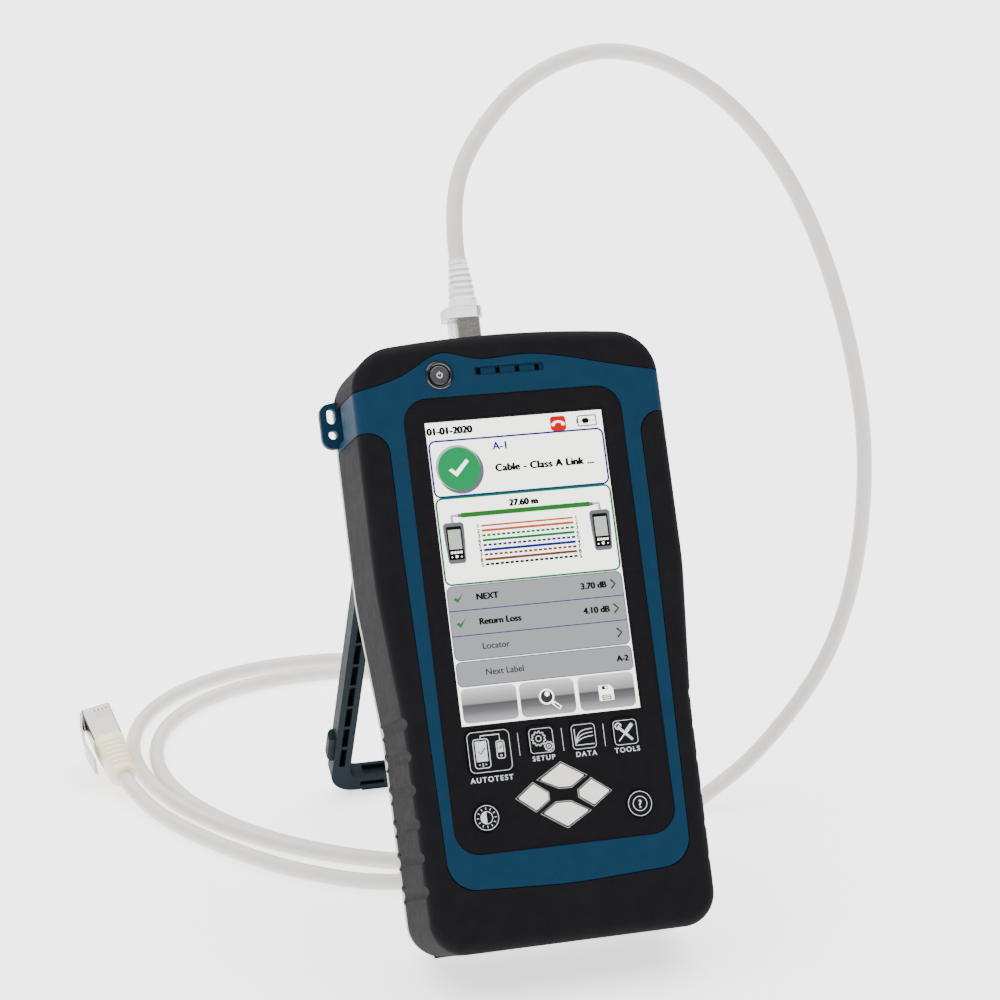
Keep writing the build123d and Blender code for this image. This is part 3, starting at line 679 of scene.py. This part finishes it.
def make_cord():
    route = [EXIT] + ARCH + loose_turns() + TAIL + [tuple(FAR_END)]
    curve = bpy.data.curves.new("patch_cord", "CURVE")
    curve.dimensions = "3D"
    curve.bevel_depth = CORD_D / 2 * MM
    curve.bevel_resolution = 8
    curve.resolution_u = 16
    spline = curve.splines.new("NURBS")
    spline.points.add(len(route) - 1)
    for point, (x, y, z) in zip(spline.points, route):
        point.co = (x * MM, y * MM, z * MM, 1)
    spline.order_u = 3
    spline.use_endpoint_u = True
    curve.use_fill_caps = True
    cord = bpy.data.objects.new("patch_cord", curve)
    bpy.context.scene.collection.objects.link(cord)
    jacket = surface("cord_jacket_paint", (0.66, 0.64, 0.60), 0.38, mottle=0.05, scale=60, grain=0.12,
                     grain_scale=900)
    curve.materials.append(jacket)
    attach(cord, BODY)
    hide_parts("cord_arch", "cord_coil", "cord_tail")
    pieces = [NODES["far_plug_shell"], NODES["far_plug_latch"], make_far_boot()]


# --- plugs and boots ------------------------------------------------------------------------------


def ring_of(z, wide, deep, square, count=56):
    """A loop between an ellipse (square 2) and a rounded rectangle (square 5)."""
    points = []
    for i in range(count):
        a = 2 * math.pi * i / count
        c, s = math.cos(a), math.sin(a)
        x = wide / 2 * math.copysign(abs(c) ** (2 / square), c)
        y = deep / 2 * math.copysign(abs(s) ** (2 / square), s)
        points.append(Vector((x, y, z)))
    return points


def lofted(name, rings):
    """A closed skin over loops with equal counts."""
    mesh = bmesh.new()
    loops = [[mesh.verts.new(p) for p in ring] for ring in rings]
    count = len(loops[0])
    for one, two in zip(loops, loops[1:]):
        for i in range(count):
            mesh.faces.new((one[i], one[(i + 1) % count], two[(i + 1) % count], two[i]))
    mesh.faces.new(loops[0][::-1])
    mesh.faces.new(loops[-1])
    bmesh.ops.recalc_face_normals(mesh, faces=mesh.faces)
    for face in mesh.faces:
        face.smooth = len(face.verts) == 4
    data = bpy.data.meshes.new(name)
    mesh.to_mesh(data)
    mesh.free()
    return data


def ribbed_boot(name, start, end, wide, deep, neck, ribs, depth):
    """A strain relief that tapers to the cord, with ring grooves along it."""
    rings = []
    steps = 72
    for i in range(steps + 1):
        t = i / steps
        z = start + (end - start) * t
        taper = 1 - t ** 1.3
        wave = 0.0
        if 0.16 < t < 0.92:
            wave = depth * (0.5 - 0.5 * math.cos(2 * math.pi * ribs * (t - 0.16) / 0.76))
        rings.append(ring_of(z, neck + (wide - neck) * taper - wave, neck + (deep - neck) * taper - wave,
                             2 + 2.5 * taper))
    return lofted(name, rings)


def plug_matrix(tip, axis, side):
    """Puts a plug's tip at a point, its cord end along axis and its latch away from side."""
    axis = Vector(axis).normalized()
    side = Vector(side)
    side = (side - axis * side.dot(axis)).normalized()
    turn = Matrix((side, axis.cross(side), axis)).transposed().to_4x4()
    return Matrix.Translation(Vector(tip)) @ turn


def make_near_boot():
    boot = ribbed_boot("near_boot", 30.5, 51.5, 11.4, 11.6, 8.0, 6, 1.3)
    clear = surface("clear_boot", (0.86, 0.86, 0.85), 0.2, mottle=0.04, scale=300, clear=0.65, coat=0.3)
    matrix = LOCAL @ Matrix.Translation(NEAR_TIP)
    piece = place_piece("near_boot", boot, clear, matrix=matrix)
    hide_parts("plug_boot")


def make_far_boot():
    boot = ribbed_boot("far_boot", 21.2, FAR_LENGTH, 14.4, 14.4, 12.6, 6, 1.3)
    beige = surface("beige_boot_paint", (0.96, 0.83, 0.60), 0.5, mottle=0.05, scale=200, grain=0.15)
    tip = FAR_END + FAR_AXIS * FAR_LENGTH
    matrix = Matrix.Scale(MM, 4) @ plug_matrix(tip, -FAR_AXIS, FAR_SIDE)
    piece = place_piece("far_boot", boot, beige, matrix=matrix)
    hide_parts("far_plug_boot")
    return piece


# --- looks of the CAD nodes ---------------------------------------------------------------------


def dress_case():
    blue = surface("blue_plastic_paint", (0.0058, 0.0255, 0.053), 0.5, mottle=0.08, scale=160, grain=0.3,
                   grain_scale=3200, spec=0.3, ior=1.15)
    rubber = surface("rubber_paint", (0.0048, 0.0048, 0.0060), 0.7, mottle=0.14, scale=110, grain=0.35,
                     grain_scale=2600, spec=0.07)
    grey = surface("rear_plastic_paint", (0.36, 0.34, 0.31), 0.5, mottle=0.08, scale=140, grain=0.4,
                   grain_scale=3000)
    film = surface("film_paint", (0.0054, 0.0051, 0.0062), 0.45, mottle=0.12, scale=260, grain=0.08,
                   grain_scale=5000, spec=0.07)
    dress(blue, "front_housing")
    dress(rubber, "bumper_top", "bumper_lower", "housing_gasket", "foot_pads", "stand_pad")
    dress(grey, "rear_housing", "battery_door")
    dress(film, "face_panel")
    stand = surface("stand_paint", (0.004, 0.010, 0.014), 0.55, mottle=0.1, scale=140, grain=0.3, spec=0.08)
    dress(stand, "stand")


def dress_keys():
    dark_key = surface("dark_key_paint", (0.0042, 0.0042, 0.0050), 0.5, mottle=0.1, scale=300, grain=0.2,
                       spec=0.07)
    dress(dark_key, "key_test", "key_setup", "key_data", "key_tools", "key_brightness", "key_help")
    cream = surface("arrow_key_paint", (0.84, 0.82, 0.74), 0.42, mottle=0.05, scale=300, grain=0.12)
    dress(cream, "key_up", "key_down", "key_left", "key_right")
    chrome = surface("chrome_paint", (0.07, 0.07, 0.075), 0.18, mottle=0.04, scale=400, metal=1.0)
    dress(chrome, "power_ring")
    button = surface("power_button_paint", (0.09, 0.09, 0.095), 0.3, mottle=0.5, scale=900, metal=0.8)
    dress(button, "power_button")


def dress_metals():
    steel = surface("steel_paint", (0.55, 0.55, 0.56), 0.3, mottle=0.06, scale=250, metal=1.0,
                    streak=(1, 8, 1))
    dress(steel, "stand_pins", "case_screws", "door_screws", "lcd_frame", "board_shields", "board_posts",
          "dome_switches")
    nickel = surface("nickel_paint", (0.40, 0.385, 0.36), 0.26, mottle=0.08, scale=420, metal=1.0,
                     rough_swing=0.1)
    dress(nickel, "plug_shell", "far_plug_shell", "far_plug_latch")
    brass = surface("brass_paint", (0.75, 0.55, 0.2), 0.25, mottle=0.05, scale=300, metal=1.0)
    dress(brass, "battery_contacts", "jack_contacts")


def dress_other_parts():
    clear = surface("clear_paint", (0.84, 0.85, 0.86), 0.15, mottle=0.03, scale=300, clear=0.7, coat=0.4)
    dress(clear, "plug_latch")
    board = surface("board_paint", (0.01, 0.10, 0.04), 0.4, mottle=0.15, scale=500)
    dress(board, "main_board", "keypad_board")
    case = surface("case_paint", (0.03, 0.03, 0.033), 0.5, mottle=0.1, scale=200, grain=0.2)
    dress(case, "battery_pack", "jack_housing", "speaker", "power_switch", "lcd_panel")


make_camera()
make_sky()
make_lights()
make_floor()
make_cord()
make_near_boot()
dress_case()
dress_keys()
dress_metals()
dress_other_parts()
make_display()
make_markings()
